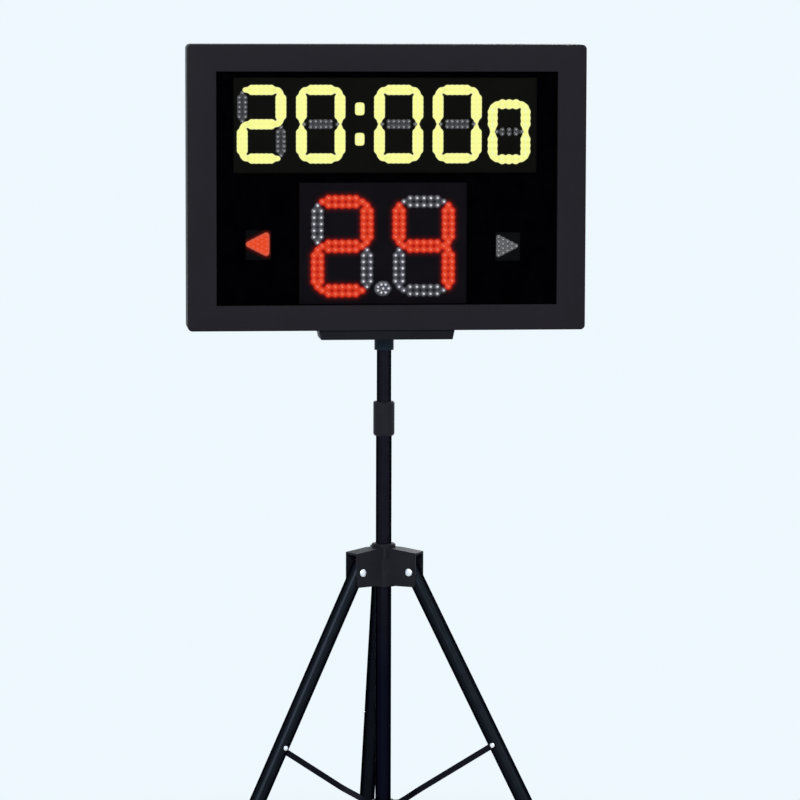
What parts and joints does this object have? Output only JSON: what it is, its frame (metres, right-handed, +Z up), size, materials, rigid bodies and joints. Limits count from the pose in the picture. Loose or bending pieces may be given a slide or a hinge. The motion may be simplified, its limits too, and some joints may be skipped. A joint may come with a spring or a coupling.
{
  "type": "electronic scoreboard",
  "caption": "Electronic scoreboard with game clock, shot clock and possession arrows in a black framed head, on a telescoping mast over a folding tripod.",
  "frame": {"origin": "on the floor, in the middle of the box that the whole scoreboard fills", "axes": "+Z up along the mast, +X to the viewer's right, -Y towards the viewer"},
  "size_m": [0.6572, 0.5732, 1.3726],
  "materials": {
    "frame_black": "satin black powder coat",
    "sheet_black": "satin black powder coat",
    "tube_black": "semi-gloss black",
    "face_black": "matte black",
    "board_black": "black board with coloured lamps",
    "board_green": "green board with black components",
    "moulded_black": "fine-grained black",
    "rubber_black": "matte black",
    "rivet_bright": "bright zinc",
    "supply_case": "bare sheet"
  },
  "bodies": {
    "column": {"outer_mast_tube": "tube_black", "column_cap": "rubber_black", "mast_clamp": "moulded_black", "lower_collar": "moulded_black", "collar_pin_left": "rivet_bright", "collar_pin_right": "rivet_bright", "collar_pin_rear": "rivet_bright"},
    "mast_clamp_knob": {"mast_clamp_knob": "moulded_black"},
    "hub": {"hub": "moulded_black", "hub_pin_left": "rivet_bright", "hub_pin_right": "rivet_bright", "hub_pin_rear": "rivet_bright"},
    "hub_knob": {"hub_knob": "moulded_black"},
    "inner_mast": {"inner_mast_tube": "tube_black", "inner_mast_plug": "moulded_black"},
    "head": {"housing": "frame_black", "face_panel": "face_black", "rear_cover": "sheet_black", "time_board": "board_black", "shot_clock_board": "board_black", "arrow_board_left": "board_black", "arrow_board_right": "board_black", "power_supply": "supply_case", "control_board": "board_green", "horn": "moulded_black", "power_inlet": "moulded_black", "switch_frame": "moulded_black", "signal_socket": "rivet_bright", "mounting_tray": "frame_black", "mast_socket": "tube_black"},
    "socket_knob": {"socket_knob": "moulded_black"},
    "power_switch": {"power_switch": "moulded_black"},
    "leg_left": {"leg_tube_left": "tube_black", "leg_plug_left": "moulded_black", "foot_left": "rubber_black", "leg_rivet_left": "rivet_bright"},
    "brace_left": {"brace_left": "tube_black", "brace_rivet_left": "rivet_bright"},
    "leg_right": {"leg_tube_right": "tube_black", "leg_plug_right": "moulded_black", "foot_right": "rubber_black", "leg_rivet_right": "rivet_bright"},
    "brace_right": {"brace_right": "tube_black", "brace_rivet_right": "rivet_bright"},
    "leg_rear": {"leg_tube_rear": "tube_black", "leg_plug_rear": "moulded_black", "foot_rear": "rubber_black", "leg_rivet_rear": "rivet_bright"},
    "brace_rear": {"brace_rear": "tube_black", "brace_rivet_rear": "rivet_bright"}
  },
  "joints": [
    {"name": "hub_slide", "type": "slide", "parent": "column", "child": "hub", "axis": [0, 0, 1], "range_m": [0, 0.124]},
    {"name": "mast_slide", "type": "slide", "parent": "column", "child": "inner_mast", "axis": [0, 0, 1], "range_m": [-0.07, 0.35]},
    {"name": "head_swivel", "type": "hinge", "parent": "inner_mast", "child": "head", "pos_m": [0, -0.09104, 0.94164], "axis": [0, 0, 1], "range_deg": [-180, 180]},
    {"name": "hub_knob_turn", "type": "hinge", "parent": "hub", "child": "hub_knob", "pos_m": [0, -0.09104, 0.57615], "axis": [0.866, 0.5, 0], "range_deg": [0, 270]},
    {"name": "mast_clamp_knob_turn", "type": "hinge", "parent": "column", "child": "mast_clamp_knob", "pos_m": [0, -0.09104, 0.81615], "axis": [0, 1, 0], "range_deg": [0, 270]},
    {"name": "socket_knob_turn", "type": "hinge", "parent": "head", "child": "socket_knob", "pos_m": [0, -0.09104, 0.91814], "axis": [0, 1, 0], "range_deg": [0, 270]},
    {"name": "power_switch_rock", "type": "hinge", "parent": "head", "child": "power_switch", "pos_m": [0.172, -0.07953, 1.00764], "axis": [1, 0, 0], "range_deg": [-18, 0]},
    {"name": "leg_hinge_left", "type": "hinge", "parent": "hub", "child": "leg_left", "pos_m": [-0.04244, -0.11553, 0.57015], "axis": [0.5, -0.866, 0], "range_deg": [0, 28.7]},
    {"name": "brace_hinge_left", "type": "hinge", "parent": "column", "child": "brace_left", "pos_m": [-0.02079, -0.10304, 0.20714], "axis": [0.5, -0.866, 0], "range_deg": [-49.82, 0]},
    {"name": "leg_hinge_right", "type": "hinge", "parent": "hub", "child": "leg_right", "pos_m": [0.04244, -0.11553, 0.57015], "axis": [0.5, 0.866, 0], "range_deg": [0, 28.7]},
    {"name": "brace_hinge_right", "type": "hinge", "parent": "column", "child": "brace_right", "pos_m": [0.02079, -0.10304, 0.20714], "axis": [0.5, 0.866, 0], "range_deg": [-49.82, 0]},
    {"name": "leg_hinge_rear", "type": "hinge", "parent": "hub", "child": "leg_rear", "pos_m": [0, -0.04204, 0.57015], "axis": [-1, 0, 0], "range_deg": [0, 28.7]},
    {"name": "brace_hinge_rear", "type": "hinge", "parent": "column", "child": "brace_rear", "pos_m": [0, -0.06703, 0.20714], "axis": [-1, 0, 0], "range_deg": [-49.82, 0]}
  ],
  "couplings": [
    {"joint": "leg_hinge_left", "follows": "hub_slide", "rad_per_m": 4.0336},
    {"joint": "brace_hinge_left", "follows": "hub_slide", "rad_per_m": -6.9998},
    {"joint": "leg_hinge_right", "follows": "hub_slide", "rad_per_m": 4.0336},
    {"joint": "brace_hinge_right", "follows": "hub_slide", "rad_per_m": -6.9998},
    {"joint": "leg_hinge_rear", "follows": "hub_slide", "rad_per_m": 4.0336},
    {"joint": "brace_hinge_rear", "follows": "hub_slide", "rad_per_m": -6.9998}
  ]
}
